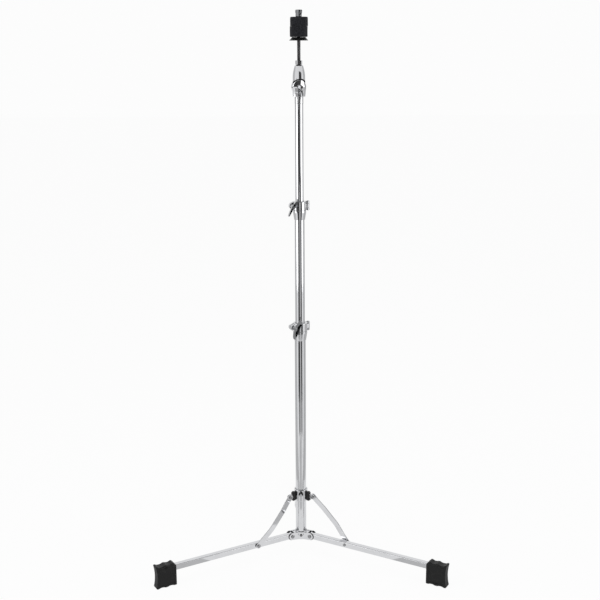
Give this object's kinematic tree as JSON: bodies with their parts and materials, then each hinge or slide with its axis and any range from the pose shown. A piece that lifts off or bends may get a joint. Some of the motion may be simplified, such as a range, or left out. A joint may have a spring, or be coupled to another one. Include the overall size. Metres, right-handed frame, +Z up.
{
  "type": "straight cymbal stand",
  "caption": "Straight cymbal stand on a level folding tripod base, with telescoping tubes held by wing-bolt clamps, a tilter, and a rod with felts and a wing nut.",
  "frame": {"origin": "on the floor, under the middle of the stand's bounding box; the mast's axis stands 91.7 mm towards the front of it", "axes": "+Z up along the mast, -Y to the front between the two front legs, +Y along the rear leg, +X to the viewer's right"},
  "size_m": [0.6728, 0.5828, 1.2708],
  "materials": {
    "chrome": "bright chrome plate on steel tube and cast fittings",
    "dark_chrome": "chrome plate on cast wing bolts and the threaded rod",
    "steel": "zinc-plated screws, nuts and pins",
    "black_nylon": "moulded black nylon, satin",
    "rubber": "moulded black rubber, matt",
    "felt": "pressed charcoal wool felt"
  },
  "bodies": {
    "post": {"lower_tube": "chrome", "leg_hub": "chrome", "hub_screw": "steel", "leg_pin_left": "chrome", "leg_pin_right": "chrome", "leg_pin_rear": "chrome", "lower_clamp_body": "chrome", "lower_clamp_gate": "chrome", "lower_clamp_pin": "steel", "lower_clamp_nut": "steel"},
    "collar": {"brace_collar": "chrome", "bumper_left": "black_nylon", "bumper_right": "black_nylon", "bumper_rear": "black_nylon", "strut_pin_left": "chrome", "strut_pin_right": "chrome", "strut_pin_rear": "chrome"},
    "collar_screw": {"brace_collar_screw": "dark_chrome"},
    "left_leg": {"leg_left": "chrome", "foot_left": "rubber", "rivet_tail_left": "chrome"},
    "right_leg": {"leg_right": "chrome", "foot_right": "rubber", "rivet_tail_right": "chrome"},
    "rear_leg": {"leg_rear": "chrome", "foot_rear": "rubber", "rivet_tail_rear": "chrome"},
    "left_strut": {"strut_left": "chrome", "strut_rivet_left": "chrome", "strut_washer_left": "black_nylon"},
    "right_strut": {"strut_right": "chrome", "strut_rivet_right": "chrome", "strut_washer_right": "black_nylon"},
    "rear_strut": {"strut_rear": "chrome", "strut_rivet_rear": "chrome", "strut_washer_rear": "black_nylon"},
    "lower_bolt": {"lower_wing_bolt": "dark_chrome"},
    "lower_sleeve": {"lower_clamp_sleeve": "black_nylon"},
    "middle_section": {"middle_tube": "chrome", "upper_clamp_body": "chrome", "upper_clamp_gate": "chrome", "upper_clamp_pin": "steel", "upper_clamp_nut": "steel"},
    "upper_bolt": {"upper_wing_bolt": "dark_chrome"},
    "upper_sleeve": {"upper_clamp_sleeve": "black_nylon"},
    "upper_section": {"upper_tube": "chrome", "tilter_base": "chrome"},
    "tilter_bolt": {"tilter_wing_bolt": "dark_chrome"},
    "head": {"tilter_head": "chrome", "tilter_nut": "steel", "rod_lock_nut": "chrome", "cymbal_rod": "dark_chrome", "felt_seat": "black_nylon", "felt_sleeve": "black_nylon", "lower_felt": "felt", "upper_felt": "felt"},
    "top_nut": {"cymbal_wing_nut": "chrome"}
  },
  "joints": [
    {"name": "leg_left_fold", "type": "hinge", "parent": "post", "child": "left_leg", "pos_m": [-0.02477, -0.10594, 0.042], "axis": [-0.5, 0.866, 0], "range_deg": [0, 82]},
    {"name": "leg_right_fold", "type": "hinge", "parent": "post", "child": "right_leg", "pos_m": [0.02477, -0.10594, 0.042], "axis": [-0.5, -0.866, 0], "range_deg": [0, 82]},
    {"name": "leg_rear_fold", "type": "hinge", "parent": "post", "child": "rear_leg", "pos_m": [0, -0.06304, 0.042], "axis": [1, 0, 0], "range_deg": [0, 82]},
    {"name": "brace_collar_slide", "type": "slide", "parent": "post", "child": "collar", "axis": [0, 0, 1], "range_m": [0, 0.12672]},
    {"name": "strut_left_swing", "type": "hinge", "parent": "collar", "child": "left_strut", "pos_m": [-0.02728, -0.10739, 0.143], "axis": [0.5, -0.866, 0], "range_deg": [0, 37.61]},
    {"name": "strut_right_swing", "type": "hinge", "parent": "collar", "child": "right_strut", "pos_m": [0.02728, -0.10739, 0.143], "axis": [0.5, 0.866, 0], "range_deg": [0, 37.61]},
    {"name": "strut_rear_swing", "type": "hinge", "parent": "collar", "child": "rear_strut", "pos_m": [0, -0.06014, 0.143], "axis": [-1, 0, 0], "range_deg": [0, 37.61]},
    {"name": "brace_collar_screw_turn", "type": "hinge", "parent": "collar", "child": "collar_screw", "pos_m": [0, -0.11, 0.1505], "axis": [0, -1, 0], "continuous": true},
    {"name": "lower_wing_bolt_turn", "type": "hinge", "parent": "post", "child": "lower_bolt", "pos_m": [-0.01717, -0.10001, 0.5623], "axis": [0.4384, -0.8988, 0], "continuous": true},
    {"name": "middle_tube_swivel", "type": "hinge", "parent": "post", "child": "lower_sleeve", "pos_m": [0, -0.09164, 0.5623], "axis": [0, 0, 1], "continuous": true},
    {"name": "middle_tube_slide", "type": "slide", "parent": "lower_sleeve", "child": "middle_section", "axis": [0, 0, 1], "range_m": [-0.232, 0.12]},
    {"name": "upper_wing_bolt_turn", "type": "hinge", "parent": "middle_section", "child": "upper_bolt", "pos_m": [-0.01733, -0.09407, 0.8448], "axis": [0.1392, -0.9903, 0], "continuous": true},
    {"name": "upper_tube_swivel", "type": "hinge", "parent": "middle_section", "child": "upper_sleeve", "pos_m": [0, -0.09164, 0.8448], "axis": [0, 0, 1], "continuous": true},
    {"name": "upper_tube_slide", "type": "slide", "parent": "upper_sleeve", "child": "upper_section", "axis": [0, 0, 1], "range_m": [-0.208, 0.12]},
    {"name": "tilter_tilt", "type": "hinge", "parent": "upper_section", "child": "head", "pos_m": [0, -0.09164, 1.1073], "axis": [-0.2079, 0.9781, 0], "range_deg": [-55, 55]},
    {"name": "tilter_wing_bolt_turn", "type": "hinge", "parent": "upper_section", "child": "tilter_bolt", "pos_m": [0, -0.09164, 1.1073], "axis": [0.2079, -0.9781, 0], "continuous": true},
    {"name": "cymbal_nut_turn", "type": "hinge", "parent": "head", "child": "top_nut", "pos_m": [0, -0.09164, 1.26], "axis": [0, 0, 1], "continuous": true}
  ],
  "couplings": [
    {"joint": "leg_right_fold", "follows": "leg_left_fold", "ratio": 1},
    {"joint": "leg_rear_fold", "follows": "leg_left_fold", "ratio": 1},
    {"joint": "brace_collar_slide", "follows": "leg_left_fold", "m_per_rad": 0.08854},
    {"joint": "strut_left_swing", "follows": "leg_left_fold", "ratio": 0.4586},
    {"joint": "strut_right_swing", "follows": "leg_left_fold", "ratio": 0.4586},
    {"joint": "strut_rear_swing", "follows": "leg_left_fold", "ratio": 0.4586}
  ]
}
